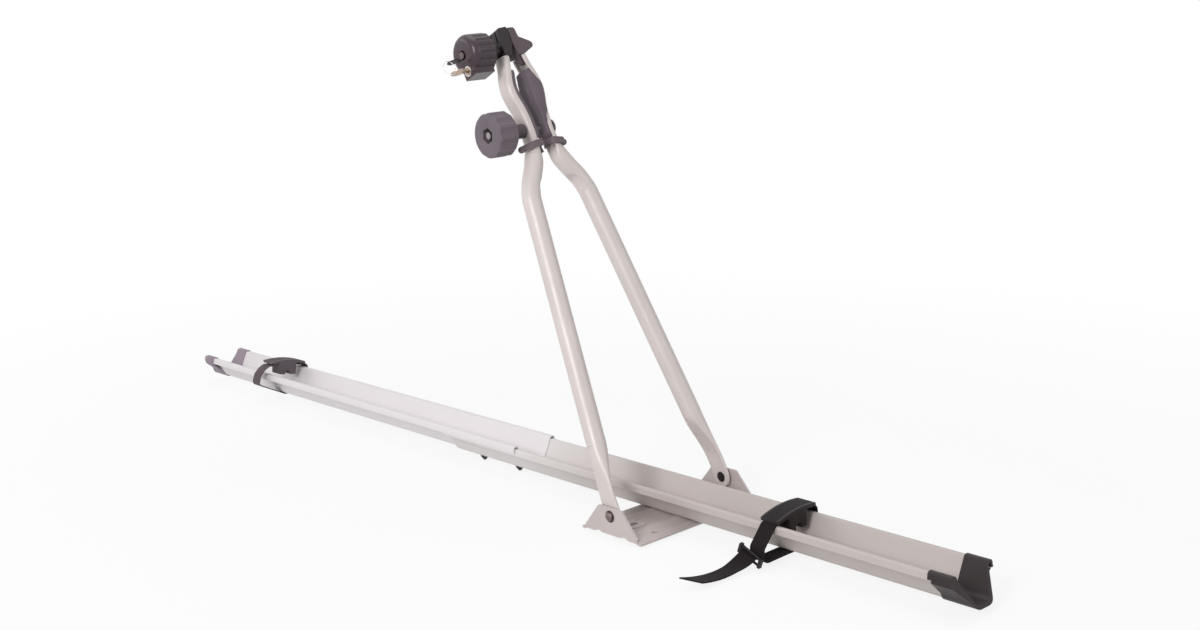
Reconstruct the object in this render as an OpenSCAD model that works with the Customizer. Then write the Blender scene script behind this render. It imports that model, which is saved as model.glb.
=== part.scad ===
// Roof mounted bike carrier: two-rail wheel tray, base bracket, folding frame arm with a lockable
// frame clamp, and two sliding wheel holders with webbing straps. Millimetres, +Z up.
// +X runs along the tray to its short end, +Y across the tray, origin under the middle of the bracket.

/* [Tray] */
// length of each of the two rails
rail_len = 795; // [700:5:900]
// how far the two rails overlap at the splice
rail_overlap = 149; // [120:1:220]
// distance from the bracket to the short end of the front rail
front_reach = 405; // [360:1:450]
// sheet thickness of the rails
rail_t = 1.3; // [1:0.1:1.4]
// width of the flat bottom of a rail
rail_flat = 11; // [10:0.5:12]
// outside depth of a rail
rail_depth = 32.6; // [31:0.1:34]
// width of a rail over its turned down rims
rail_width = 62.4; // [61:0.2:65]
// slope of the rail walls from upright
rail_wall_ang = 26; // [25:0.5:27]
// bend radius of the rims
roll_r = 1.7; // [1.4:0.1:2]
// straight length of the turned down rim
rim_leg = 6; // [4:0.5:7]

/* [End caps] */
// how far a cap reaches over its rail
cap_grip = 24; // [20:1:30]
// plastic thickness on each side of the rail
cap_t = 1.3; // [1.2:0.1:1.6]
// cap length past the rail at the rim
cap_top = 2.5; // [1:0.5:6]
// cap length past the rail at the floor
cap_toe = 17; // [14:0.5:22]

/* [Base bracket] */
// length of the pressed plate along the tray
base_len = 96; // [90:1:110]
// distance between the outer faces of the ears
ear_span = 181; // [176:1:190]
// thickness of the pressed plate
base_t = 2.5; // [2:0.1:3]
// height of the arm pivot
pivot_z = 23.5; // [22.5:0.5:26]
// spacing of the roof bar bolt holes along the tray
bolt_dx = 68; // [64:1:72]
// spacing of the roof bar bolt holes across the tray
bolt_dy = 114; // [108:1:120]
// roof bar bolt hole diameter
bolt_hole_d = 7; // [6.4:0.1:8]

/* [Frame arm] */
// backward lean of the arm as photographed
lean = 25.6; // [15:0.1:35]
// outside diameter of the arm tubes
tube_d = 22.4; // [21:0.1:24]
// wall thickness of the arm tubes
tube_wall = 1.5; // [1.2:0.1:2]
// distance along the arm from the pivot to the elbow
elbow_s = 368; // [350:1:385]
// half distance of the tube lines at the elbow
elbow_y = 42.25; // [41:0.25:44]
// half distance of the tube lines at the pivot
foot_y = 83.2; // [82.8:0.1:84]
// pivot bolt diameter
pivot_d = 8; // [7:0.5:9]

/* [Clamp head] */
// distance along the arm from the elbow to the neck bolt
neck_rise = 82; // [80:0.5:84]
// distance along the arm from the neck bolt to the clamp bolt
eye_len = 100; // [99:0.5:103]
// half distance of the jaw lines at the neck
neck_y = 13.3; // [13:0.1:14]
// half distance of the jaw lines at the widest place of the eye
eye_y = 20.5; // [20:0.1:22]
// width of the slit between the closed jaw tips
slit_w = 1.5; // [1:0.1:2]
// diameter of both clamp bolts
stud_d = 8; // [7:0.5:9]
// diameter of the lock knob
lock_d = 47; // [45:1:50]
// length of the lock knob
lock_len = 33; // [31:0.5:35]
// diameter of the neck knob
neck_knob_d = 52; // [48:1:54]
// length of the neck knob
neck_knob_len = 28; // [26:0.5:30]

/* [Wheel holders] */
// place of the front holder along the tray
front_hold_x = 180; // [150:1:220]
// place of the rear holder along the tray
rear_hold_x = -847; // [-900:1:-780]
// webbing width
strap_w = 20; // [18:0.5:22]
// webbing thickness
strap_t = 1.7; // [1.4:0.1:2]
// length of a holder block along the tray
block_len = 26; // [25:0.5:30]

/* [Clearances] */
// free play between nested rails
nest_gap = 0.1; // [0.05:0.01:0.2]
// radial play of a turning pin
run_gap = 0.05; // [0.02:0.01:0.1]
// play between faces that move past each other
face_gap = 0.4; // [0.35:0.05:0.5]
// play between an arm foot and its ear
ear_gap = 1; // [0.9:0.05:1.2]

/* [Hidden] */
$fn = 64;
tray_z = 6;
rear_lift = (rail_t + nest_gap) / sin(rail_wall_ang);
corner_r = 9;
front_x0 = front_reach - rail_len;
rear_x1 = front_x0 + rail_overlap;
rear_x0 = rear_x1 - rail_len;
ear_in = ear_span / 2 - base_t;
tube_r = tube_d / 2;
foot_out = ear_in - ear_gap;
foot_in = foot_out - 5;
nut_seat = foot_out - 2;
stud_r = stud_d / 2;
pivot_r = pivot_d / 2;
splay = atan((foot_y - elbow_y) / elbow_s);
neck_s = elbow_s + neck_rise;
clamp_s = neck_s + eye_len;
jaw_end = clamp_s - 10;
jaw_half = 10.8;
jaw_crown = 6.5;
flange_t = 3;
flange_in = 2.5;
web_t = 3;
tip_top = clamp_s + 26.5;
slit_y = 2.2;
open_drop = 3.4;
tray_top = tray_z + rail_depth;

// point and outline helpers
function polar(a) = [cos(a), sin(a)];
function arc(c, r, a0, a1, n) = [for (i = [0:n]) c + r * polar(a0 + (a1 - a0) * i / n)];
function unit(v) = v / norm(v);
function side(p, i) = let (d = unit(p[i + 1] - p[i])) [-d[1], d[0]];
function mitre(p, i) =
  let (n = len(p), a = side(p, max(i - 1, 0)), b = side(p, min(i, n - 2)), m = unit(a + b))
  m / max(0.3, m * a);
function band(p, t) = concat([for (i = [0:len(p) - 1]) p[i] + mitre(p, i) * t / 2],
  [for (i = [len(p) - 1:-1:0]) p[i] - mitre(p, i) * t / 2]);
function flip(p) = [for (i = [len(p) - 1:-1:0]) [-p[i][0], p[i][1]]];
function smooth(a, b, x) = let (t = min(1, max(0, (x - a) / (b - a)))) t * t * (3 - 2 * t);
function power(v, e) = sign(v) * pow(abs(v), e);

// half of the rail's middle line, from the floor out over the rolled rim
wall_dir = 90 - rail_wall_ang;
corner_mid = [rail_flat / 2, rail_t / 2 + corner_r];
corner_end = corner_mid + corner_r * polar(-rail_wall_ang);
roll_cz = rail_depth - rail_t / 2 - roll_r;
wall_rise = roll_cz + roll_r * cos(wall_dir) - corner_end[1];
roll_cy = corner_end[0] + wall_rise * tan(rail_wall_ang) + roll_r * sin(wall_dir);
rim_cy = rail_width / 2 - rail_t / 2 - roll_r;
rim_dir = -84;
function rail_half(leg, out) = concat(
  arc(corner_mid, corner_r, -90, -rail_wall_ang, 7),
  arc([roll_cy, roll_cz], roll_r, 90 + wall_dir, 90, 5),
  arc([rim_cy + out, roll_cz], roll_r, 90, 90 + rim_dir, 6),
  [[rim_cy + out, roll_cz] + roll_r * polar(rim_dir + 90) + leg * polar(rim_dir)]);
function rail_line(leg, out) = concat(flip(rail_half(leg, out)), rail_half(leg, out));
function shifted(p, d) = [for (i = [0:len(p) - 1]) p[i] + mitre(p, i) * d];

module along_x(x0, l) {
  translate([x0, 0, 0])
    rotate([90, 0, 90])
      linear_extrude(l)
        children();
}

module along_y(y0, l) {
  translate([0, y0 + l, 0])
    rotate([90, 0, 0])
      linear_extrude(l)
        children();
}

// a round piece on an axis parallel to Y, from y0 over l
module rod_y(x, y0, z, r, l) {
  translate([x, y0, z])
    rotate([-90, 0, 0])
      cylinder(r = r, h = l);
}

module rail_solid(x0, z0, out) {
  translate([0, 0, z0])
    along_x(x0, rail_len)
      polygon(band(rail_line(rim_leg, out), rail_t));
}

// the rear rail nests over the rims of the front rail
rear_out = rail_t + nest_gap + 0.05;

splice_x = [rear_x1 - 33, rear_x1 - 106];
splice_r = 2;
nut_drop = 8.4;
bolt_drop = 5;
rail_bolt_x = [-9, 9];

module front_rail() {
  color([0.78, 0.75, 0.73])
    difference() {
      rail_solid(front_x0, tray_z, 0);
      for (x = splice_x)
        translate([x, 0, tray_z - 1])
          cylinder(r = splice_r + 0.2, h = 4);
      for (x = rail_bolt_x)
        translate([x, 0, tray_z - 1])
          cylinder(d = 6.4, h = 4);
    }
}

module rear_rail() {
  color([0.9, 0.89, 0.89])
    difference() {
      rail_solid(rear_x0, tray_z + rear_lift, rear_out);
      for (x = splice_x)
        translate([x, 0, tray_z + rear_lift - 1])
          cylinder(r = splice_r + 0.2, h = 4);
    }
}

// plastic sleeve over a rail end: liner, outer shell and a mouth sloping outwards to the floor
wall_half = concat(arc(corner_mid, corner_r, -90, -rail_wall_ang, 7),
  [corner_end + (roll_cz - 2.5 - corner_end[1]) * [tan(rail_wall_ang), 1]]);
wall_line = concat(flip(wall_half), wall_half);

// web that closes the slot between the turned down rim and the wall
leg_dir = polar(rim_dir);
leg_out = polar(rim_dir + 90);
wall_out = polar(-rail_wall_ang);
function leg_at(l, o, out) = [rim_cy + out, roll_cz] + (roll_r + o) * leg_out + l * leg_dir;
function wall_at(z, o) = corner_end + (z - corner_end[1]) * [tan(rail_wall_ang), 1] + o * wall_out;
function web_half(d, out) = [leg_at(rim_leg - 2, d - cap_t / 2, out),
  leg_at(rim_leg - 2, d + cap_t / 2, out), leg_at(rim_leg + 1.4, d + cap_t / 2, out),
  wall_at(6.5, d), wall_at(9.5, d),
  leg_at(rim_leg + 0.3, -rail_t, out), leg_at(rim_leg + 0.3, d - cap_t / 2, out)];
// cheek that fills the space between rim, flank and wall past the end of the rail, on one side only
function cheek_half(d, out) = [[roll_cy, roll_cz + roll_r], [rim_cy + out, roll_cz + roll_r],
  leg_at(0, d, out), leg_at(rim_leg + 1.4, d + cap_t / 2, out), wall_at(6.5, d), wall_at(9.5, 0),
  wall_at(roll_cz - 2.5, 0)];
cheek_x = 0.4;

module cap_solid(out) {
  d = rail_t / 2 + 0.1 + cap_t / 2;
  line = rail_line(rim_leg - 1.5, out);
  difference() {
    union() {
      along_x(-cap_grip, cap_grip + cap_toe)
        polygon(band(shifted(line, d), cap_t));
      difference() {
        along_x(-cap_grip, cap_grip + cap_toe)
          polygon(band(shifted(wall_line, -d), cap_t));
        along_y(-50, 100)
          polygon([[-cap_grip - 1, rail_depth + 2], [-cap_grip + 5.5, rail_depth + 2],
            [-cap_grip + 5.5, rail_depth - 10], [-cap_grip + 1.5, -4], [-cap_grip - 1, -4]]);
      }
      along_x(-cap_grip + 4.5, cap_grip - 4.5)
        polygon(web_half(d, out));
      along_x(-cap_grip + 4.5, cap_grip - 4.5 + 2 * cheek_x)
        polygon(flip(web_half(d, out)));
      along_x(cheek_x, cap_toe - cheek_x)
        polygon(flip(cheek_half(d, out)));
      along_x(cheek_x, cap_toe - cheek_x)
        polygon(band(line, rail_t + 0.6));
    }
    along_y(-50, 100)
      polygon([[cap_top, rail_depth + 4], [cap_top, rail_depth - 5], [cap_toe + 0.5, -0.9],
        [cap_toe + 9, -0.9], [cap_toe + 9, rail_depth + 4]]);
  }
}

module front_end_cap() {
  color([0.22, 0.2, 0.21])
    translate([front_reach, 0, tray_z])
      cap_solid(0);
}

module rear_end_cap() {
  color([0.3, 0.27, 0.3])
    translate([rear_x0, 0, tray_z + rear_lift])
      rotate([0, 0, 180])
        cap_solid(rear_out);
}

module splice_bolts() {
  color([0.7, 0.7, 0.7])
    for (x = splice_x)
      translate([x, 0, tray_z + rear_lift + rail_t]) {
        cylinder(r1 = 5.8, r2 = 4.6, h = 2.6);
        translate([0, 0, -rail_t - rear_lift - bolt_drop])
          cylinder(r = splice_r, h = bolt_drop + rail_t + rear_lift + 0.5);
      }
}

module splice_spacers() {
  color([0.6, 0.6, 0.6])
    for (x = splice_x)
      translate([x, 0, tray_z + rail_t])
        difference() {
          cylinder(r = 5, h = rear_lift - rail_t);
          translate([0, 0, -1])
            cylinder(r = splice_r + 0.1, h = 8);
        }
}

module splice_nuts() {
  color([0.13, 0.12, 0.13])
    for (x = splice_x)
      translate([x, 0, tray_z])
        difference() {
          rotate_extrude()
            polygon([[0, 0], [5.6, 0], [5.6, -2], [4.6, -4.6], [1.6, -nut_drop], [0, -nut_drop]]);
          translate([0, 0, -bolt_drop - 0.3])
            cylinder(r = splice_r + 0.05, h = bolt_drop + 2);
        }
}

// pressed section of the base plate, upper line
plate_mid = 4.5;
plate_half = [[15, plate_mid], [18.5, tray_z], [23.5, tray_z], [27, 4], [base_len / 2 - 8, 4],
  [base_len / 2 - 5, base_t], [base_len / 2, base_t]];
function plate_top() = concat(flip(plate_half), plate_half);
function lowered(p, t) = [for (v = p) [v[0], v[1] - t]];
function backwards(p) = [for (i = [len(p) - 1:-1:0]) p[i]];
ear_top = pivot_z + 10;
ear_half = 41.4;

module ear_profile() {
  polygon(concat(arc([19.8 - 3.5, ear_top - 5], 5, 30, 90, 5),
    arc([-19.8 + 3.5, ear_top - 5], 5, 90, 150, 5),
    [[-ear_half - 1, 6], [-ear_half, 1.7], [-27, 1.5], [-23.5, 3.5], [-18.5, 3.5], [-15, 2], [15, 2],
     [18.5, 3.5], [23.5, 3.5], [27, 1.5], [ear_half, 1.7], [ear_half + 1, 6]]));
}

module slot_cut(l, r) {
  for (y = [-l / 2, l / 2])
    translate([0, y, -5])
      cylinder(r = r, h = 20);
  translate([-r, -l / 2, -5])
    cube([2 * r, l, 20]);
}

module base_bracket() {
  color([0.78, 0.74, 0.72])
    difference() {
      union() {
        along_y(-ear_span / 2, ear_span)
          polygon(concat(plate_top(), backwards(lowered(plate_top(), base_t))));
        along_y(-ear_span / 2, base_t)
          ear_profile();
        along_y(ear_in, base_t)
          ear_profile();
        for (s = [-1, 1])
          translate([-11, s * bolt_dy / 2 - 9, plate_mid - 1])
            cube([22, 18, 2]);
        for (x = [-bolt_dx / 2, bolt_dx / 2])
          for (y = [-bolt_dy / 2, bolt_dy / 2])
            translate([x, y, 0])
              cylinder(d = bolt_hole_d + 6, h = 2);
      }
      for (s = [-1, 1])
        rod_y(0, s * (ear_span / 2 - base_t / 2) - 5, pivot_z, pivot_r + 0.1, 10);
      for (x = [-bolt_dx / 2, bolt_dx / 2])
        for (y = [-bolt_dy / 2, bolt_dy / 2])
          translate([x, y, -5])
            cylinder(d = bolt_hole_d, h = 20);
      for (y = [-bolt_dy / 2, bolt_dy / 2])
        translate([0, y, 0])
          slot_cut(5, 3.4);
      for (x = rail_bolt_x)
        translate([x, 0, -5])
          cylinder(d = 6.4, h = 20);
    }
}

module rail_bolts() {
  color([0.7, 0.7, 0.7])
    for (x = rail_bolt_x)
      translate([x, 0, tray_z + rail_t]) {
        cylinder(r1 = 5.8, r2 = 4.6, h = 2.6);
        translate([0, 0, -tray_z - rail_t + 0.3])
          cylinder(r = 2.9, h = tray_z + rail_t);
      }
}

module rail_spacers() {
  color([0.6, 0.6, 0.6])
    for (x = rail_bolt_x)
      translate([x, 0, plate_mid])
        difference() {
          cylinder(r = 5.5, h = tray_z - plate_mid);
          translate([0, 0, -1])
            cylinder(r = 3.1, h = 8);
        }
}

module rail_nuts() {
  color([0.6, 0.6, 0.6])
    for (x = rail_bolt_x)
      translate([x, 0, 0.3])
        difference() {
          cylinder(r = 5.7, h = plate_mid - base_t - 0.3, $fn = 6);
          translate([0, 0, -1])
            cylinder(r = 2.95, h = 8);
        }
}

// pieces of one arm pivot, drawn for the far side
module pivot_bolt_solid() {
  rod_y(0, foot_in + 1.4, pivot_z, pivot_r, ear_span / 2 - foot_in - 1.4);
  translate([0, ear_span / 2, pivot_z])
    rotate([-90, 0, 0])
      rotate_extrude()
        polygon(concat([[0, 0], [6.6, 0], [6.6, 0.9]], arc([0, -4.4], 8.5, 39, 90, 7)));
}

module pivot_washer_solid(t) {
  difference() {
    rod_y(0, ear_in - t, pivot_z, 8, t);
    rod_y(0, ear_in - 5, pivot_z, pivot_r + 0.1, 10);
  }
}

module pivot_nut_solid() {
  difference() {
    rod_y(0, nut_seat - 0.4 - 2.2, pivot_z, 5.6 + pivot_r - 4, 2.2);
    rod_y(0, foot_in + 1.3, pivot_z, pivot_r + 0.02, 30);
  }
}

module far_pivot_bolt() {
  color([0.75, 0.72, 0.71])
    pivot_bolt_solid();
}

module near_pivot_bolt() {
  color([0.75, 0.72, 0.71])
    mirror([0, 1, 0])
      pivot_bolt_solid();
}

module far_pivot_washer() {
  color([0.3, 0.3, 0.3])
    pivot_washer_solid(0.9 * ear_gap);
}

module near_pivot_washer() {
  color([0.3, 0.3, 0.3])
    mirror([0, 1, 0])
      pivot_washer_solid(0.5 * ear_gap);
}

module far_pivot_nut() {
  color([0.12, 0.11, 0.11])
    pivot_nut_solid();
}

module near_pivot_nut() {
  color([0.12, 0.11, 0.11])
    mirror([0, 1, 0])
      pivot_nut_solid();
}

// the arm frame: z along the arm from the pivot, y across, x square to the plane of the arms
module arm_frame() {
  translate([0, 0, pivot_z])
    rotate([0, -lean, 0])
      children();
}

// line of one jaw: straight tube, elbow, neck, eye and tip
function tube_y(s) = foot_y - s * tan(splay);
function rise_at(k, w) = [elbow_s + k * neck_rise, neck_y + w * (elbow_y - neck_y)];
function eye_at(k, w) = [neck_s + k * eye_len, neck_y + w * (eye_y - neck_y)];
jaw_knots = [[elbow_s - 40, tube_y(elbow_s - 40)], [elbow_s - 2, tube_y(elbow_s - 2)],
  rise_at(0.12, 0.875), rise_at(0.245, 0.715), rise_at(0.366, 0.5), rise_at(0.49, 0.3),
  rise_at(0.585, 0.18), rise_at(0.695, 0.075), rise_at(0.8, 0.025), [neck_s, neck_y],
  eye_at(0.22, 0.24), eye_at(0.4, 0.83), eye_at(0.51, 1), eye_at(0.64, 0.7),
  [jaw_end - 14, neck_y + 1.3], [jaw_end, neck_y - 1.7], [jaw_end + 14, neck_y - 4.3]];
function knot_slope(k, i) = (k[i + 1][1] - k[i - 1][1]) / (k[i + 1][0] - k[i - 1][0]);
function knot_at(k, s, i = 1) = s <= k[i + 1][0] || i >= len(k) - 3 ? i : knot_at(k, s, i + 1);
function jaw_y(s) =
  let (k = jaw_knots, i = knot_at(k, s), h = k[i + 1][0] - k[i][0], t = (s - k[i][0]) / h,
    m0 = knot_slope(k, i) * h, m1 = knot_slope(k, i + 1) * h)
  s < jaw_knots[1][0] ? tube_y(s) :
  (2 * t * t * t - 3 * t * t + 1) * k[i][1] + (t * t * t - 2 * t * t + t) * m0
  + (3 * t * t - 2 * t * t * t) * k[i + 1][1] + (t * t * t - t * t) * m1;
function jaw_tilt(s) = (jaw_y(s + 0.5) - jaw_y(s - 0.5));

// a section point: outward distance a and sideways distance b at height s on the jaw line
function on_jaw(s, a, b) =
  let (d = jaw_tilt(s), q = sqrt(1 + d * d)) [b, jaw_y(s) + a / q, s - a * d / q];

// round and pressed tube sections with matching points, as [a, b]
sec_n = 20;
skin_r = tube_r - 0.12;
function ring_out(i) = let (t = -90 + 180 * i / sec_n) [skin_r * cos(t), skin_r * sin(t)];
function ring_in(i) = let (t = 90 + 180 * i / sec_n) [skin_r * cos(t), skin_r * sin(t)];
function press_out(i) =
  let (t = -90 + 180 * i / sec_n) [jaw_crown * power(cos(t), 0.7), jaw_half * power(sin(t), 0.8)];
horn_r = flange_t / 2;
press_fold = concat(arc([-flange_in + horn_r, jaw_half - horn_r], horn_r, 90, 270, 5),
  arc([jaw_crown - web_t - 2, jaw_half - flange_t - 2], 2, 80, 0, 3), [[jaw_crown - web_t, 2.6]]);
press_inner = concat(press_fold,
  [for (i = [len(press_fold) - 2:-1:0]) [press_fold[i][0], -press_fold[i][1]]]);
function press_in(i) = press_inner[round(i * (len(press_inner) - 1) / sec_n)];
function mix(a, b, w) = a * (1 - w) + b * w;
// thumb dent inside the bend of the elbow
function bend_dent(s, b) =
  4.8 * sqrt(max(0, 1 - pow((s - elbow_s - 14) / 13, 2) - pow(b / 8.4, 2)));
function dented(p, s) = [p[0] + bend_dent(s, p[1]), p[1]];
function upper_section(s) = let (w = smooth(neck_s - 38, neck_s - 16, s))
  concat([for (i = [0:sec_n]) mix(ring_out(i), press_out(i), w)],
    [for (i = [1:sec_n - 1]) mix(dented(ring_in(i), s), press_in(i), w)]);

// flattened foot with a dent on its inner face and a hollow beside the ear on its outer face
foot_half = 11.8;
ear_reach = 36;
function foot_tuck(t, s) =
  cos(t) > 0 ? 1.7 * smooth(14, ear_reach, s) * (1 - smooth(ear_reach + 8, 76, s)) * sqrt(cos(t)) : 0;
function foot_dent(t, s) =
  cos(t) < 0 ? 4.4 * smooth(8, 32, s) * (1 - smooth(50, 77, s)) * max(0, 1 - pow(sin(t), 2) * 1.9) : 0;
function foot_point(t, s, w) =
  let (c = (foot_out + foot_in) / 2 - tube_y(s), r = s < 0 ? sqrt(max(0.02, 1 - s * s / 144)) : 1,
    dent = foot_dent(t, s) - foot_tuck(t, s))
  mix([c + (foot_out - foot_in) / 2 * power(cos(t), 0.45), foot_half * r * power(sin(t), 0.75)],
    [skin_r * cos(t), skin_r * sin(t)], w) + [dent, 0];
function foot_section(s) = let (w = smooth(16, 76, s))
  [for (i = [0:2 * sec_n - 1]) foot_point(-90 + 180 * i / sec_n, s, w)];

function skin_faces(n, m) = concat(
  [for (i = [0:n - 1]) for (j = [0:m - 1]) [i * m + j, i * m + (j + 1) % m, (i + 1) * m + j]],
  [for (i = [1:n]) for (j = [0:m - 1]) [(i - 1) * m + (j + 1) % m, i * m + (j + 1) % m, i * m + j]]);
function loft_faces(n, m) = concat([[for (j = [m - 1:-1:0]) j]], [[for (j = [0:m - 1]) n * m + j]],
  skin_faces(n, m));

module loft(rings) {
  n = len(rings) - 1;
  m = len(rings[0]);
  polyhedron([for (r = rings) for (p = r) p], loft_faces(n, m), convexity = 6);
}

// loft closed by fans of triangles round a middle point of each end
module fan_loft(rings, hub0, hub1) {
  n = len(rings) - 1;
  m = len(rings[0]);
  k = (n + 1) * m;
  polyhedron(concat([for (r = rings) for (p = r) p], [hub0, hub1]), concat(
    [for (j = [0:m - 1]) [k, (j + 1) % m, j]],
    [for (j = [0:m - 1]) [k + 1, n * m + j, n * m + (j + 1) % m]],
    skin_faces(n, m)), convexity = 6);
}

tube_s0 = 78;
foot_s = concat([-11.8, -11, -9.4, -7, -4, 0], [for (i = [1:16]) i * (tube_s0 + 1) / 16]);
upper_s = concat([elbow_s - 7], [for (i = [0:14]) elbow_s - 4 + 35 * i / 14],
  [for (i = [1:33]) elbow_s + 31 + (jaw_end - elbow_s - 31) * i / 33]);

module arm_skin() {
  loft([for (s = foot_s) [for (p = foot_section(s)) [p[1], tube_y(s) + p[0], s]]]);
  loft([for (s = upper_s) [for (p = upper_section(s)) on_jaw(s, p[0], p[1])]]);
}

module straight_tube() {
  l = (elbow_s - 2 - tube_s0) / cos(splay);
  translate([0, tube_y(tube_s0), tube_s0])
    rotate([splay, 0, 0])
      difference() {
        cylinder(r = tube_r, h = l);
        translate([0, 0, 1.5])
          cylinder(r = tube_r - tube_wall, h = l - 4.5);
        translate([0, 0, 12])
          rotate([0, -90, 0])
            cylinder(r = 2.5, h = 20);
      }
}

// round or long hole along Y through a jaw, lower end drawn out by drop
module jaw_hole(s, r, drop) {
  for (d = [0, drop])
    translate([0, -2, s - d])
      rotate([-90, 0, 0])
        cylinder(r = r, h = 60);
  if (drop > 0)
    translate([-r, -2, s - drop])
      cube([2 * r, 60, drop]);
}

module arm_solid(hole_r, neck_r, drop) {
  difference() {
    union() {
      arm_skin();
      straight_tube();
    }
    translate([0, foot_in - 2, 0])
      rotate([-90, 0, 0])
        cylinder(r = 6.3 + pivot_r - 4, h = nut_seat - foot_in + 2);
    translate([0, foot_in - 2, 0])
      rotate([-90, 0, 0])
        cylinder(r = hole_r, h = 20);
    jaw_hole(neck_s, neck_r, drop);
  }
}

module far_arm() {
  color([0.85, 0.82, 0.8])
    arm_frame()
      arm_solid(pivot_r + run_gap, stud_r + 0.1, 0);
}

module near_arm() {
  color([0.85, 0.82, 0.8])
    arm_frame()
      mirror([0, 1, 0])
        arm_solid(pivot_r + 0.5, stud_r + 0.7, open_drop);
}

// soft liners in the hollows of the jaws: a thin one near, a full one with lips far
pad_back = -flange_in - 0.15;
pad_s0 = neck_s - 15;
pad_s1 = jaw_end - 15;
function pad_ends(s) =
  0.25 + 0.75 * smooth(pad_s0, pad_s0 + 9, s) * (1 - 0.4 * smooth(pad_s1 - 7, pad_s1, s));
function full_face(s) = 6 - 2.25 * smooth(neck_s, neck_s + 0.35 * eye_len, s)
  + 1.3 * smooth(neck_s + 0.5 * eye_len, neck_s + 0.64 * eye_len, s)
  - 2 * smooth(neck_s + 0.66 * eye_len, pad_s1, s);
function pad_depth(s, full) = pad_ends(s) * (full ? jaw_y(s) + pad_back - full_face(s) : 4.5);
function pad_wide(s, full) =
  full ? smooth(neck_s + 2, neck_s + 9, s) * (1 - smooth(pad_s1 - 12, pad_s1 - 5, s)) : 0;
function pad_lip(s, full) =
  full ? smooth(neck_s + 9, neck_s + 20, s) * (1 - smooth(pad_s1 - 24, pad_s1 - 12, s)) : 0;
pad_face = [[0.7, 1], [1, 0.9], [0.94, 0.5], [0.9, 0.25], [0.9, 0]];
function pad_section(s, full) =
  let (c = jaw_crown - web_t - 0.1, w = jaw_half - flange_t - 0.25, o = pad_back,
    d = pad_depth(s, full), u = pad_wide(s, full), e = jaw_half - 0.4 + 2 * u,
    g = jaw_half - 0.9 + 1.05 * u, h = o + 0.1 + 4 * pad_lip(s, full))
  concat(arc([c - 1.9, w - 1.9], 1.9, 90, 0, 3), arc([c - 1.9, -w + 1.9], 1.9, 0, -90, 3),
    [[o, -w], [o, -g], [h, -g], [h, -e]],
    [for (i = [0:4]) [o - d * pad_face[i][0], -e * pad_face[i][1]]],
    [for (i = [3:-1:0]) [o - d * pad_face[i][0], e * pad_face[i][1]]],
    [[h, e], [h, g], [o, g], [o, w]]);
pad_s = [for (i = [0:24]) pad_s0 + (pad_s1 - pad_s0) * i / 24];

module pad_solid(r, drop, full) {
  difference() {
    fan_loft([for (s = pad_s) [for (p = pad_section(s, full)) on_jaw(s, p[0], p[1])]],
      on_jaw(pad_s0, pad_back - pad_depth(pad_s0, full) / 2, 0),
      on_jaw(pad_s1, pad_back - pad_depth(pad_s1, full) / 2, 0));
    jaw_hole(neck_s, r, drop);
  }
}

module far_pad() {
  color([0.25, 0.22, 0.24])
    arm_frame()
      pad_solid(stud_r + 0.1, 0, true);
}

module near_pad() {
  color([0.25, 0.22, 0.24])
    arm_frame()
      mirror([0, 1, 0])
        pad_solid(stud_r + 0.7, open_drop, false);
}

module square_x(w) {
  translate([-w / 2, 0, 0])
    rotate([90, 0, 90])
      linear_extrude(w)
        children();
}

// jaw tips above the metal, with a tongue down into the jaw
tip_w = 20.5;
tip_base = jaw_end + 0.3;

module far_tip() {
  color([0.16, 0.15, 0.16])
    arm_frame()
      difference() {
        union() {
          square_x(tip_w)
            polygon(concat([[slit_y + slit_w / 2 + 3.4, tip_base], [15.5, tip_base + 1.1]],
              arc([26.5, clamp_s + 2], 4.5, -50, 62, 6),
              [[14, clamp_s + 13], [12.5, tip_top - 3], [10.5, tip_top - 1.5],
              [slit_y + slit_w / 2, tip_top - 1.5], [slit_y + slit_w / 2, clamp_s + 6]]));
          translate([(jaw_half - flange_t) / 2 - 0.4, 0, 0])
            square_x(jaw_half - flange_t - 1.6)
              polygon([[slit_y + slit_w / 2 + 3.4, tip_base + 1], [jaw_y(jaw_end) + 2.4, tip_base + 1],
                [jaw_y(jaw_end) + 2.1, jaw_end - 1], [jaw_y(jaw_end - 10) + 1.8, jaw_end - 10],
                [jaw_y(jaw_end - 10) - 4, jaw_end - 10]]);
        }
        translate([0, -2, clamp_s])
          rotate([-90, 0, 0])
            cylinder(r = stud_r + 0.05, h = 22);
      }
}

module near_tip() {
  color([0.16, 0.15, 0.16])
    arm_frame()
      difference() {
        union() {
          square_x(tip_w)
            polygon(concat([[slit_y - slit_w / 2 - 5.5, tip_base], [slit_y - slit_w / 2, clamp_s + 4],
              [slit_y - slit_w / 2, tip_top - 1], [slit_y - slit_w / 2 - 1, tip_top]],
              arc([-9, tip_top - 5.5], 4.5, 90, 175, 5), [[-14, tip_base + 8], [-14.4, tip_base + 0.8]]));
          square_x(2 * (jaw_half - flange_t) - 1.6)
            polygon([[slit_y - slit_w / 2 - 5.5, tip_base + 1], [-jaw_y(jaw_end) - 2, tip_base + 1],
              [-jaw_y(jaw_end) - 2.1, jaw_end - 1], [-jaw_y(jaw_end - 10) - 1.8, jaw_end - 10],
              [-jaw_y(jaw_end - 10) + 4, jaw_end - 10]]);
        }
        mirror([0, 1, 0])
          translate([0, -10, 0])
            jaw_hole(clamp_s, stud_r + 0.7, open_drop);
        for (x = [-4.5, 4.5])
          translate([x - 1.2, -20, clamp_s + 9])
            cube([2.4, 10, 22]);
      }
}

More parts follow.
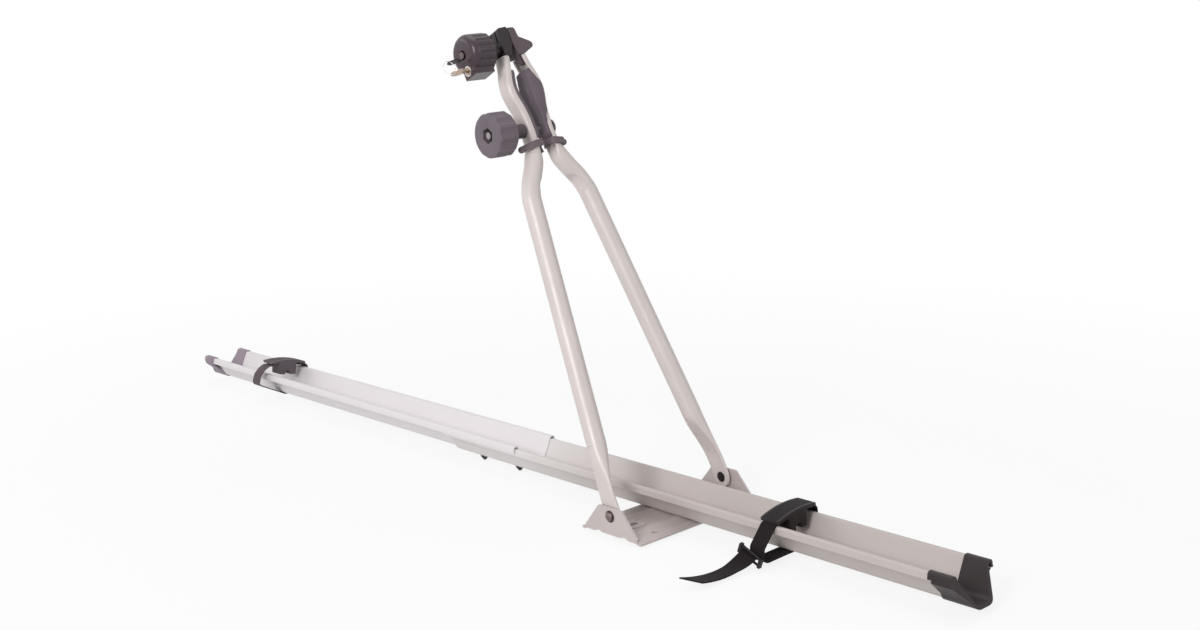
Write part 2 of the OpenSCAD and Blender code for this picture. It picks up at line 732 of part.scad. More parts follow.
// clip at the foot of a liner that grips round the outside of its jaw
clip_s = neck_s - 22;
function clip_line(reach) = let (y = jaw_y(clip_s)) concat([[-3, y - 8.5], [jaw_half - 1, y - 8.5]],
  arc([jaw_half - 1.4, y - 5.2], 3.4, -50, 0, 3), arc([jaw_half - 3.2, y + 4.6], 5.2, 0, 50, 4),
  [[jaw_half - 3.2 - (reach - 9) / 3, y + reach]]);

clip_droop = 9;
clip_h = 7.5;

module clip_solid(tab, reach) {
  arm_frame()
    translate([0, 0, clip_s])
      rotate([-clip_droop, 0, 0]) {
        linear_extrude(clip_h)
          polygon(band(clip_line(reach), 2.6));
        translate([jaw_half - 3.2 - (reach - 9) / 3, jaw_y(clip_s) + reach, clip_h / 2])
          sphere(r = clip_h / 2 + 0.2);
        translate([-4, jaw_y(clip_s) - 9.7, -tab])
          cube([8, 2.4, 5 + tab]);
      }
}

module far_clip() {
  color([0.17, 0.16, 0.17])
    clip_solid(1, 11.4);
}

module near_clip() {
  color([0.17, 0.16, 0.17])
    mirror([0, 1, 0])
      clip_solid(7, 20);
}

// clamp bolts, fixed in the far jaw
lock_back = -33;
lock_face = lock_back - lock_len;
neck_back = -43.5;
neck_face = neck_back - neck_knob_len;

module clamp_bolt() {
  color([0.72, 0.7, 0.66])
    arm_frame()
      translate([0, 0, clamp_s])
        rotate([-90, 0, 0]) {
          translate([0, 0, lock_face - 1.5])
            cylinder(r = stud_r, h = 20 - lock_face);
        }
}

module neck_bolt() {
  color([0.2, 0.19, 0.2])
    arm_frame()
      translate([0, 0, neck_s])
        rotate([-90, 0, 0]) {
          translate([0, 0, neck_face + 1])
            cylinder(r = stud_r, h = neck_y + jaw_crown + 1 - neck_face);
          translate([0, 0, neck_y + jaw_crown + 0.6])
            rotate_extrude()
              polygon(concat([[0, 0], [9.5, 0], [9.5, 1.2]], arc([0, -6.2], 11.8, 39, 90, 6)));
        }
}

// collars that press on the near jaw, carried out with the knobs
module lock_collar() {
  color([0.15, 0.14, 0.15])
    arm_frame()
      translate([0, 0, clamp_s])
        rotate([-90, 0, 0])
          difference() {
            union() {
              translate([0, 0, lock_back + 0.4])
                cylinder(r1 = 13, r2 = 8.5, h = 11.6);
              translate([0, 0, lock_back + 10])
                cylinder(r = stud_r + 2, h = -14.6 - face_gap - lock_back - 10);
            }
            translate([0, 0, lock_back - 1])
              cylinder(r = stud_r + 0.35, h = 40);
          }
}

module neck_collar() {
  color([0.15, 0.14, 0.15])
    arm_frame()
      translate([0, 0, neck_s])
        rotate([-90, 0, 0])
          difference() {
            translate([0, 0, neck_back + 0.4]) {
              cylinder(r1 = 12, r2 = 8.5, h = 6);
              cylinder(r = 8.5, h = -neck_back - 0.4 - neck_y - jaw_crown - face_gap);
            }
            translate([0, 0, neck_back - 1])
              cylinder(r = stud_r + 0.35, h = 40);
          }
}

// lock knob with ribbed rim and the squared lock housing on its lower side
lock_off = 20;
barrel_r = 6.2;

module lock_knob() {
  r = lock_d / 2;
  color([0.12, 0.11, 0.12])
    arm_frame()
      translate([0, 0, clamp_s])
        rotate([-90, 0, 0])
          translate([0, 0, lock_back - lock_len])
            difference() {
              union() {
                rotate_extrude()
                  polygon(concat([[0, 0], [r - 8, 0]], arc([r - 8, 8], 8, -90, 0, 6), [[r, lock_len - 2],
                    [r - 2, lock_len], [0, lock_len]]));
                translate([-11, 0, 1.5])
                  cube([22, lock_off + 7.5, lock_len - 6]);
              }
              for (i = [0:17])
                if (i < 3 || i > 6)
                  rotate([0, 0, i * 20])
                    translate([r + 2.2, 0, 9])
                      cylinder(r = 3.4, h = lock_len, $fn = 24);
              translate([0, 0, -1])
                cylinder(r = stud_r + 0.5, h = lock_len + 2);
              translate([0, 0, -1])
                cylinder(r = stud_r + 1.7, h = 4);
              translate([0, 0, lock_len - 8])
                cylinder(r = 7.6, h = 9);
              translate([0, lock_off, -1])
                cylinder(r = barrel_r + 0.05, h = 16);
            }
}

module lock_insert() {
  color([0.75, 0.66, 0.42])
    arm_frame()
      translate([0, 0, clamp_s])
        rotate([-90, 0, 0])
          translate([0, 0, lock_back - 7.9])
            difference() {
              cylinder(r = 7.55, h = 7.8);
              translate([0, 0, -1])
                cylinder(r = stud_r + run_gap, h = 12);
            }
}

module lock_ring() {
  color([0.8, 0.79, 0.77])
    arm_frame()
      translate([0, 0, clamp_s - lock_off])
        rotate([-90, 0, 0])
          translate([0, 0, lock_face - 0.8])
            difference() {
              cylinder(r = barrel_r, h = 14);
              translate([0, 0, -1])
                cylinder(r = 4.3, h = 13.5);
            }
}

module lock_plug() {
  color([0.7, 0.66, 0.55])
    arm_frame()
      translate([0, 0, clamp_s - lock_off])
        rotate([-90, 0, 0])
          translate([0, 0, lock_face - 0.5])
            difference() {
              cylinder(r = 4.25, h = 11.8);
              translate([-3.4, -0.6, -1])
                cube([6.8, 1.2, 10]);
            }
}

// flat keys lying square to the lock, bow outwards
module key_solid(blade, bow_r) {
  translate([-3.2, -0.5, -7])
    cube([6.4, 1, blade + 7]);
  translate([0, 0.5, -7 - bow_r + 3])
    rotate([90, 0, 0])
      difference() {
        cylinder(r = bow_r, h = 1);
        translate([0, -bow_r + 4, -1])
          cylinder(r = 2, h = 3);
      }
}

module lock_key() {
  color([0.76, 0.65, 0.45])
    arm_frame()
      translate([0, 0, clamp_s - lock_off])
        rotate([-90, 0, 0])
          translate([0, 0, lock_face - 0.5])
            key_solid(8, 9.5);
}

module spare_key() {
  color([0.2, 0.19, 0.2])
    arm_frame()
      translate([0, 0, clamp_s - lock_off + 13])
        rotate([-90, 0, 0])
          translate([0, 0, lock_face - 4.5])
            key_solid(-1.5, 7.5);
}

module key_ring() {
  color([0.6, 0.58, 0.56])
    arm_frame()
      translate([0, lock_face - 24.5, clamp_s - lock_off + 6.5])
        rotate([0, 90, 0])
          rotate_extrude()
            translate([8.2, 0])
              circle(r = 0.55, $fn = 16);
}

// scalloped neck knob with a hexagonal recess round the end of its bolt
module neck_knob() {
  r = neck_knob_d / 2;
  color([0.36, 0.33, 0.36])
    arm_frame()
      translate([0, 0, neck_s])
        rotate([-90, 0, 0])
          translate([0, 0, neck_face])
            difference() {
              rotate_extrude()
                polygon(concat([[0, 0], [r - 3, 0]], arc([r - 3, 3], 3, -90, 0, 3),
                  [[r, neck_knob_len - 4], [r - 4, neck_knob_len], [0, neck_knob_len]]));
              for (i = [0:11])
                rotate([0, 0, i * 30 + 15])
                  translate([r + 10.6, 0, -1])
                    cylinder(r = 12.2, h = neck_knob_len + 2, $fn = 48);
              translate([0, 0, -1])
                cylinder(r = 9.5, h = 13, $fn = 6);
              translate([0, 0, -1])
                cylinder(r = stud_r + 0.5, h = neck_knob_len + 2);
              translate([0, 0, neck_knob_len - 8])
                cylinder(r = 7.6, h = 9);
            }
}

module neck_insert() {
  color([0.7, 0.68, 0.64])
    arm_frame()
      translate([0, 0, neck_s])
        rotate([-90, 0, 0])
          translate([0, 0, neck_back - 7.9])
            difference() {
              cylinder(r = 7.55, h = 7.8);
              translate([0, 0, -1])
                cylinder(r = stud_r + run_gap, h = 12);
            }
}

// wheel holder: arched saddle block standing in the tray, heights from the underside of its rail
arch_y = 29;
arch_r = 122;
arch_top = rail_depth + 10.3;
arch_edge = rail_depth + 3.4;
hold_mid = rail_depth - 2.6;

module block_profile() {
  half = asin(arch_y / arch_r);
  polygon(concat(arc([0, arch_top - arch_r], arch_r, 90 - half, 90 + half, 12),
    [[-arch_y, arch_edge], [-15.5, arch_edge + 1.2], [-14, arch_edge], [-13, rail_depth - 12.4],
     [-4.6, rail_depth - 12.4], [-3.8, rail_depth - 8], [-2, rail_depth - 6], [2, rail_depth - 6],
     [3.8, rail_depth - 8], [4.6, rail_depth - 12.4], [13, rail_depth - 12.4], [14, arch_edge],
     [15.5, arch_edge + 1.2], [arch_y, arch_edge]]));
}

// block tipped about the line of the tray
module block_solid(tip, turn, lift) {
  translate([0, 0, hold_mid + lift])
    rotate([0, 0, turn])
      rotate([tip, 0, 0])
        translate([-block_len / 2, 0, -hold_mid])
          rotate([90, 0, 90])
            linear_extrude(block_len)
              block_profile();
}

front_tip = 5.5;
rear_tip = -10;

module front_block() {
  color([0.18, 0.17, 0.18])
    translate([front_hold_x, 0, tray_z])
      block_solid(front_tip, 0, 1.5);
}

module rear_block() {
  color([0.24, 0.22, 0.24])
    translate([rear_hold_x, 0, tray_z + rear_lift])
      block_solid(rear_tip, 0, 7.6);
}

// webbing lines round the tray, from the far end of the saddle to the near end
sole = -strap_t / 2 - 0.35;
rim_y = rail_width / 2;
top = rail_depth;

module band_solid(x, line) {
  translate([x - strap_w / 2, 0, 0])
    rotate([90, 0, 90])
      linear_extrude(strap_w)
        polygon(band(line, strap_t));
}

buckle_at = [-rim_y - 19.3, top - 21.6];
loop_at = [-rim_y - 12.3, 4.4];
loop_r = 6.4;
back_y = -rim_y - 14.2;
front_line = concat(
  [[22.5, top + 6.4], [28, top + 6.6]],
  arc([rim_y - 3, top + 1.4], 5.2, 80, 0, 5),
  [[rim_y + 2.2, top - 7.6]],
  arc([6, 8.2], 9.55, -35, -90, 5),
  [[-20, sole - 0.3], [loop_at[0] + 0.5, sole - 0.9]],
  arc(loop_at, loop_r, -95, -200, 6),
  [buckle_at + [1.2, 2.2], [-rim_y, top + 0.5], [-rim_y + 2.8, top + 1.25], [-22.5, top + 1.3]]);
rear_line = concat(
  [[20, top + 6], [26, top + 4.9]],
  arc([rim_y - 1.3, top], 4.6, 80, 0, 5),
  [[rim_y + 3.3, top - 8.6]],
  arc([6, 8.2], 9.55, -35, -90, 5),
  [[-8, sole - 0.2]],
  arc([back_y, top - 9.4], 4.2, -119, -190, 5),
  [[back_y - 0.2, top + 1.9], [back_y + 7.9, top + 9.4], [back_y + 15.4, top + 13.2], [-20, top + 12.6]]);

module front_strap() {
  color([0.13, 0.12, 0.13])
    translate([0, 0, tray_z])
      band_solid(front_hold_x, front_line);
}

module rear_strap() {
  color([0.2, 0.18, 0.2])
    translate([0, 0, tray_z + rear_lift])
      band_solid(rear_hold_x, rear_line);
}

// ladder buckle: two side cheeks and two bars across the webbing
buckle_t = 4.4;
module buckle_solid(w) {
  for (x = [-w / 2, w / 2 - 3.4])
    translate([x, -buckle_t / 2, -5.6])
      cube([3.4, buckle_t, 11.2]);
  for (z = [-3.9, 3.9])
    translate([-w / 2 + 1, 0, z])
      rotate([0, 90, 0])
        cylinder(r = 1.4, h = w - 2, $fn = 24);
}

module front_buckle() {
  color([0.2, 0.18, 0.2])
    translate([front_hold_x - 6.5, loop_at[0] - loop_r - strap_t / 2 - buckle_t / 2 - 0.2, tray_z + 4.4])
      rotate([0, 22, 0])
        buckle_solid(strap_w + 12);
}

module rear_buckle() {
  color([0.2, 0.18, 0.2])
    translate([rear_hold_x, rim_y + 3.5 + strap_t / 2 + buckle_t / 2, tray_z + rear_lift + top - 11])
      buckle_solid(strap_w + 8);
}

// loose end of the front webbing: out between the bars of the skewed buckle, then untwisting as it hangs
tail_l = 109;
tail_x = front_hold_x - 8;
function tail_mid(t) = [tail_x - 3.8 * t, buckle_at[0] - 1 - tail_l * t,
  buckle_at[1] - 4.8 - 53.7 * t + 77.4 * t * t - 20.6 * t * t * t];
function tail_dir(t) = unit(tail_mid(t + 0.01) - tail_mid(t - 0.01));
function tail_across(t) = let (a = 22 * (1 - smooth(0, 0.3, t)) + 3.4 * t) [cos(a), 0, -sin(a)];
function tail_point(t, b, h) = let (v = t * (0.76 - 0.06 * b), w = tail_across(v))
  tail_mid(v) + w * b * strap_w / 2 + unit(cross(tail_dir(v), w)) * h * strap_t / 2;
tail_corners = [[-1, -1], [-1, 1], [1, 1], [1, -1]];

module front_tail() {
  color([0.13, 0.12, 0.13])
    translate([0, 0, tray_z])
      fan_loft([for (i = [0:24]) [for (c = tail_corners) tail_point(i / 24, c[0], c[1])]],
        tail_point(0, 0, 0), tail_point(1, 0, 0));
}

base_bracket();
front_rail();
rear_rail();
front_end_cap();
rear_end_cap();
splice_bolts();
splice_spacers();
splice_nuts();
rail_bolts();
rail_spacers();
rail_nuts();
near_pivot_bolt();
far_pivot_bolt();
near_pivot_washer();
far_pivot_washer();
near_pivot_nut();
far_pivot_nut();
far_arm();
far_pad();
far_tip();
far_clip();
clamp_bolt();
neck_bolt();
near_arm();
near_pad();
near_tip();
near_clip();
lock_collar();
lock_knob();
lock_insert();
lock_ring();
lock_plug();
lock_key();
spare_key();
key_ring();
neck_collar();
neck_knob();
neck_insert();
front_block();
front_strap();
front_buckle();
front_tail();
rear_block();
rear_strap();
rear_buckle();
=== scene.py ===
import math

import bmesh
import bpy
import numpy as np
from mathutils import Matrix, Vector


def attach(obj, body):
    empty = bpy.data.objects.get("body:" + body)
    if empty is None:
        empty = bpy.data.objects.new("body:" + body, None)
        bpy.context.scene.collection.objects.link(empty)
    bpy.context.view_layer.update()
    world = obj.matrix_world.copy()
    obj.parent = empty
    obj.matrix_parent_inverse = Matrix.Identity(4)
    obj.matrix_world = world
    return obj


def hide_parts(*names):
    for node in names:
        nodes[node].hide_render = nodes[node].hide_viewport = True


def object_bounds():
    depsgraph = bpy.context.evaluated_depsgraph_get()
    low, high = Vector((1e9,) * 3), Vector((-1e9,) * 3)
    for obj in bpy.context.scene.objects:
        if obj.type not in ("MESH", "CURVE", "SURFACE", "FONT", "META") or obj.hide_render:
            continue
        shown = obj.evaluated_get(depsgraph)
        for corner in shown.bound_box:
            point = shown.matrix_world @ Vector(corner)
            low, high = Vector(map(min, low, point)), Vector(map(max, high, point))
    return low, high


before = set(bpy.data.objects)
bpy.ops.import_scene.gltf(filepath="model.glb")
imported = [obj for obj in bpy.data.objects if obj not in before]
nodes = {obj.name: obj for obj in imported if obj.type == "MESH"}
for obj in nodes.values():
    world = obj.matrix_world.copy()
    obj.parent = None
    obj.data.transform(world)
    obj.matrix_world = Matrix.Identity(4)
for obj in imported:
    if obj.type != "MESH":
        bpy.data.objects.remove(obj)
cad_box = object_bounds()
scene = bpy.context.scene
scene.view_settings.view_transform = "Standard"

# sizes repeated from the part: heights in metres, arms, straps and holders in millimetres
MM = 0.001
LEAN = math.radians(25.6)
PIVOT_Z = 23.5 * MM
TRAY_Z = 6.0 * MM
ELBOW_S, ELBOW_Y, FOOT_Y = 368.0, 42.25, 83.2
NECK_S, CLAMP_S, NECK_Y, EYE_Y = 450.0, 550.0, 13.3, 20.5
JAW_END = CLAMP_S - 10
FRONT_X, REAR_X = 180.0, -847.0
STRAP_W, STRAP_T = 20.0, 1.7
TOP, RIM = 32.6, 31.2

# the rear rail nests in the front one, so its holder sits a wall and its play higher up the flanks
NEST_STEP, FLANK_ANGLE = 1.4, math.radians(26)
REAR_LIFT = NEST_STEP / math.sin(FLANK_ANGLE)

# camera of the photograph: yaw, pitch and roll in degrees, place in metres, focal length in pixels
CAMERA_TURN = (49.39, 12.20, 3.54)
CAMERA_AT = (1.2345, -1.1454, 0.5996)
FOCAL_PX, WIDTH_PX = 1568, 1200
SENSOR_WIDTH = 36
FAR_CLIP = 200


def place_camera():
    yaw, pitch, roll = (math.radians(a) for a in CAMERA_TURN)
    fwd = Vector((-math.sin(yaw) * math.cos(pitch), math.cos(yaw) * math.cos(pitch), -math.sin(pitch)))
    right = Vector((math.cos(yaw), math.sin(yaw), 0))
    down = fwd.cross(right)
    x_axis = math.cos(roll) * right + math.sin(roll) * down
    y_axis = math.sin(roll) * right - math.cos(roll) * down
    data = bpy.data.cameras.new("camera")
    data.sensor_fit = "HORIZONTAL"
    data.sensor_width = SENSOR_WIDTH
    data.lens = FOCAL_PX / WIDTH_PX * SENSOR_WIDTH
    data.clip_end = FAR_CLIP
    cam = bpy.data.objects.new("camera", data)
    scene.collection.objects.link(cam)
    m = Matrix((x_axis, y_axis, -fwd)).transposed().to_4x4()
    m.translation = Vector(CAMERA_AT)
    cam.matrix_world = m
    scene.camera = cam


place_camera()


# material building
class Nodes:
    """Short names for the nodes of one material."""

    def __init__(self, name):
        self.mat = bpy.data.materials.new(name)
        self.mat.use_nodes = True
        self.tree = self.mat.node_tree
        self.bsdf = self.tree.nodes["Principled BSDF"]

    def add(self, kind, **values):
        node = self.tree.nodes.new(kind)
        for key, value in values.items():
            if hasattr(node, key):
                setattr(node, key, value)
            else:
                node.inputs[key.replace("_", " ")].default_value = value
        return node

    def link(self, a, b):
        self.tree.links.new(a, b)

    def coords(self, scale=(1, 1, 1)):
        tex = self.add("ShaderNodeTexCoord")
        mapping = self.add("ShaderNodeMapping")
        mapping.inputs["Scale"].default_value = scale
        self.link(tex.outputs["Object"], mapping.inputs["Vector"])
        return mapping.outputs["Vector"]

    def axes(self, kind="Object"):
        tex = self.add("ShaderNodeTexCoord")
        return self.split(tex.outputs[kind])

    def split(self, vector):
        parts = self.add("ShaderNodeSeparateXYZ")
        self.link(vector, parts.inputs[0])
        return parts.outputs

    def noise(self, vector, scale, detail=3.0, rough=0.5):
        node = self.add("ShaderNodeTexNoise", Scale=scale, Detail=detail, Roughness=rough)
        self.link(vector, node.inputs["Vector"])
        return node.outputs["Fac"]

    def math(self, op, a, b=None):
        node = self.add("ShaderNodeMath", operation=op)
        for i, value in enumerate((a, b)):
            if value is None:
                continue
            if isinstance(value, (int, float)):
                node.inputs[i].default_value = value
            else:
                self.link(value, node.inputs[i])
        return node.outputs[0]

    def wave(self, value, pitch):
        return self.math("SINE", self.math("MULTIPLY", value, 2 * math.pi / pitch))

    def ramp(self, fac, low, high, out_low, out_high):
        node = self.add("ShaderNodeMapRange")
        limits = {"From Min": low, "From Max": high, "To Min": out_low, "To Max": out_high}
        for key, value in limits.items():
            node.inputs[key].default_value = value
        self.link(fac, node.inputs["Value"])
        return node.outputs["Result"]

    def mix(self, fac, a, b):
        node = self.add("ShaderNodeMix", data_type="RGBA")
        self.link(fac, node.inputs["Factor"])
        for socket, value in ((node.inputs[6], a), (node.inputs[7], b)):
            if isinstance(value, (tuple, list)):
                socket.default_value = (*value[:3], 1)
            else:
                self.link(value, socket)
        return node.outputs[2]

    def bump(self, height, strength, distance, after=None):
        node = self.add("ShaderNodeBump", Strength=strength, Distance=distance)
        self.link(height, node.inputs["Height"])
        if after is not None:
            self.link(after, node.inputs["Normal"])
        return node.outputs["Normal"]

    def set(self, **values):
        for key, value in values.items():
            socket = self.bsdf.inputs[key.replace("_", " ")]
            if isinstance(value, (int, float)):
                socket.default_value = value
            else:
                self.link(value, socket)


def tint(colour, k):
    return tuple(min(1.0, c * k) for c in colour)


def paint(name, colour, rough):
    """Powder coated steel: orange peel, faint flake and uneven gloss."""
    n = Nodes(name)
    v = n.coords()
    cloud = n.noise(v, 18, 4)
    fleck = n.noise(v, 2600, 1)
    base = n.mix(n.ramp(cloud, 0.3, 0.7, 0, 1), tint(colour, 0.97), tint(colour, 1.03))
    base = n.mix(n.ramp(fleck, 0.5, 0.8, 0, 0.2), base, tint(colour, 1.12))
    n.set(Base_Color=base, Metallic=0.08, Specular_IOR_Level=0.35)
    n.set(Roughness=n.ramp(n.noise(v, 55, 3), 0.3, 0.7, rough - 0.04, rough + 0.06))
    peel = n.bump(n.noise(v, 420, 2), 0.05, 0.00012)
    n.set(Normal=n.bump(fleck, 0.03, 0.00004, peel))
    return n.mat


# along the tray, in metres: where the front rail's painted reflection, a paler tone, starts to fade, and
# where it has gone
REFLECTION_FULL_X, REFLECTION_GONE_X = -0.24, -0.06


def drawn_metal(name, colour, rough, streak=0.05, painted_reflection=None):
    """Extruded aluminium with die lines along the rail, and a painted reflection making it paler towards the
    splice where asked.
    """
    n = Nodes(name)
    lines = n.noise(n.coords(scale=(0.6, 900, 900)), 1, 3, 0.7)
    broad = n.noise(n.coords(scale=(0.8, 60, 60)), 1, 3)
    cloud = n.noise(n.coords(), 9, 4)
    fine = n.math("ADD", n.math("MULTIPLY", lines, 0.6), n.math("MULTIPLY", broad, 0.4))
    base = n.mix(n.ramp(fine, 0.35, 0.65, 0, 1), tint(colour, 1 - streak), tint(colour, 1 + streak))
    base = n.mix(n.ramp(cloud, 0.35, 0.7, 0, 0.4), base, tint(colour, 0.95))
    if painted_reflection:
        # painted reflection: the rail is paler towards the splice, fading along x
        base = n.mix(n.ramp(n.axes()[0], REFLECTION_FULL_X, REFLECTION_GONE_X, 1, 0), base, painted_reflection)
    n.set(Base_Color=base, Metallic=0.14)
    n.set(Roughness=n.ramp(fine, 0.3, 0.7, rough - 0.07, rough + 0.09))
    n.set(Normal=n.bump(lines, 0.12, 0.0002))
    return n.mat


# the grain of moulded plastic: pits per metre, strength and depth in metres
GRAIN_SCALE, GRAIN, GRAIN_DEPTH = 1500, 0.25, 0.00012
COAT_ROUGH = 0.18


def plastic(name, colour, rough, grain=GRAIN, grain_scale=GRAIN_SCALE, spec=0.3, coat=0.0):
    """Moulded plastic with spark-eroded grain and slightly uneven gloss."""
    n = Nodes(name)
    v = n.coords()
    cloud = n.noise(v, 30, 4)
    pits = n.noise(v, grain_scale, 2, 0.6)
    base = n.mix(n.ramp(cloud, 0.3, 0.7, 0, 1), tint(colour, 0.88), tint(colour, 1.14))
    scuff = n.noise(n.coords(scale=(1, 1, 6)), 45, 5, 0.65)
    base = n.mix(n.ramp(scuff, 0.6, 0.8, 0, 0.35), base, tint(colour, 1.5))
    n.set(Base_Color=base, Specular_IOR_Level=spec)
    n.set(Roughness=n.ramp(cloud, 0.3, 0.7, rough - 0.06, rough + 0.08))
    if coat:
        n.set(Coat_Weight=coat, Coat_Roughness=COAT_ROUGH)
    n.set(Normal=n.bump(pits, grain, GRAIN_DEPTH))
    return n.mat


def metal(name, colour, rough, brushed=(1, 1, 1)):
    """Plated or polished hardware with fine scratches."""
    n = Nodes(name)
    lines = n.noise(n.coords(scale=brushed), 700, 3, 0.6)
    cloud = n.noise(n.coords(), 80, 4)
    base = n.mix(n.ramp(cloud, 0.3, 0.7, 0, 1), tint(colour, 0.9), tint(colour, 1.08))
    n.set(Base_Color=base, Metallic=1.0)
    n.set(Roughness=n.ramp(lines, 0.3, 0.7, rough - 0.08, rough + 0.1))
    n.set(Normal=n.bump(lines, 0.1, 0.0001))
    return n.mat


# radii on the pivot bolt's head, in metres: where the painted shade round the dome's seat begins, and where
# it is full
SHADE_START_R, SHADE_FULL_R = 0.0046, 0.0056


def pivot_head(name, colour):
    """Plated dome bolt with uneven wear, and painted shade in a ring round the dome where it meets its seat.
    """
    n = Nodes(name)
    x, _, z = n.axes()
    up = n.math("SUBTRACT", z, PIVOT_Z)
    reach = n.math("SQRT", n.math("ADD", n.math("MULTIPLY", x, x), n.math("MULTIPLY", up, up)))
    v = n.coords()
    wear = n.noise(v, 240, 4, 0.65)
    base = n.mix(n.ramp(wear, 0.3, 0.7, 0, 1), tint(colour, 0.8), tint(colour, 1.2))
    # painted shade: darker outside the dome, round the seat of the head
    base = n.mix(n.ramp(reach, SHADE_START_R, SHADE_FULL_R, 0, 1), base, tint(colour, 0.22))
    n.set(Base_Color=base, Metallic=1.0)
    n.set(Roughness=n.ramp(wear, 0.3, 0.7, 0.36, 0.56))
    n.set(Normal=n.bump(n.noise(v, 900, 3), 0.12, 0.0001))
    return n.mat


def bolt_two_tone(name, near, far, y0, y1):
    """Bolt with a plated end and a plastic-capped end, changing from y0 to y1."""
    n = Nodes(name)
    cloud = n.noise(n.coords(), 120, 4)
    lines = n.noise(n.coords(scale=(1, 6, 1)), 900, 3, 0.6)
    part = n.ramp(n.axes()[1], y0, y1, 0, 1)
    base = n.mix(part, near, far)
    base = n.mix(n.ramp(cloud, 0.3, 0.7, 0, 0.5), base, tint(far, 1.1))
    n.set(Base_Color=base, Metallic=n.math("SUBTRACT", 1.0, part))
    n.set(Roughness=n.ramp(lines, 0.3, 0.7, 0.34, 0.52))
    n.set(Normal=n.bump(lines, 0.12, 0.0001))
    return n.mat


# grip band on a wheel holder, in metres: half width and where its edge ends, pitch of its ribs and cross ribs
BAND_HALF, BAND_EDGE = 0.0096, 0.0102
BAND_RIB, BAND_CROSS = 0.0019, 0.0024


def saddle(name, colour, band, x):
    """Moulded block with a woven-look grip band across its arched top, with painted shade in the band's weave
    hollows and painted highlight on its ribs.
    """
    n = Nodes(name)
    ax, ay, _ = n.axes()
    v = n.coords()
    cloud = n.noise(v, 30, 4)
    pits = n.noise(v, GRAIN_SCALE, 2, 0.6)
    off = n.math("ABSOLUTE", n.math("SUBTRACT", ax, x))
    upward = n.split(n.add("ShaderNodeNewGeometry").outputs["Normal"])[2]
    inside, flat = n.ramp(off, BAND_HALF, BAND_EDGE, 1, 0), n.ramp(upward, 0.7, 0.8, 0, 1)
    on_top = n.math("MULTIPLY", inside, flat)
    rib, cross = n.wave(ay, BAND_RIB), n.wave(ax, BAND_CROSS)
    weave = n.math("MULTIPLY", n.math("ADD", rib, n.math("MULTIPLY", rib, cross)), 0.5)
    base = n.mix(n.ramp(cloud, 0.3, 0.7, 0, 1), tint(colour, 0.88), tint(colour, 1.14))
    # painted shade and highlight: the band is darker in the weave's hollows, lighter on its ribs
    woven_base = n.mix(n.ramp(weave, -1, 1, 0, 1), tint(band, 0.55), tint(band, 1.45))
    n.set(Base_Color=n.mix(on_top, base, woven_base), Specular_IOR_Level=0.25)
    n.set(Roughness=n.ramp(on_top, 0, 1, 0.46, 0.78))
    pitted = n.bump(pits, GRAIN, GRAIN_DEPTH)
    n.set(Normal=n.bump(n.math("MULTIPLY", weave, on_top), 0.6, 0.0003, pitted))
    return n.mat


# the weave of webbing, in metres: pitch of the picks, the chevrons and the warp; width and skew of a chevron
PICK_PITCH, CHEVRON_PITCH, WARP_PITCH = 0.0016, 0.0021, 0.00105
CHEVRON_WIDTH, CHEVRON_SKEW = 0.005, 0.0026


def woven(name, colour):
    """Webbing: cross ribs and chevron weave from the strip's own length and width, with painted shade in the
    weave's hollows and painted highlight on its ribs.
    """
    n = Nodes(name)
    along, across, _ = n.axes("UV")
    pick, warp = n.wave(along, PICK_PITCH), n.wave(across, WARP_PITCH)
    repeat = n.math("FRACT", n.math("MULTIPLY", across, 1 / CHEVRON_WIDTH))
    fold = n.math("ABSOLUTE", n.math("SUBTRACT", repeat, 0.5))
    skew = n.math("ADD", along, n.math("MULTIPLY", fold, CHEVRON_SKEW))
    chevron = n.math("MULTIPLY", n.wave(skew, CHEVRON_PITCH), 0.5)
    plain = n.math("MULTIPLY", n.math("MULTIPLY", pick, warp), 0.5)
    weave = n.math("ADD", chevron, plain)
    v = n.coords()
    fuzz = n.noise(v, 2200, 3, 0.7)
    cloud = n.noise(v, 60, 3)
    # painted shade and highlight: darker in the weave's hollows, lighter on its ribs
    base = n.mix(n.ramp(weave, -1, 1, 0, 1), tint(colour, 0.45), tint(colour, 1.5))
    base = n.mix(n.ramp(cloud, 0.35, 0.7, 0, 0.5), base, tint(colour, 1.25))
    n.set(Base_Color=base, Roughness=n.ramp(fuzz, 0.3, 0.7, 0.62, 0.85))
    n.set(Sheen_Weight=0.04, Sheen_Roughness=0.5, Specular_IOR_Level=0.12)
    n.set(Normal=n.bump(weave, 0.55, 0.0003, n.bump(fuzz, 0.25, 0.0001)))
    return n.mat


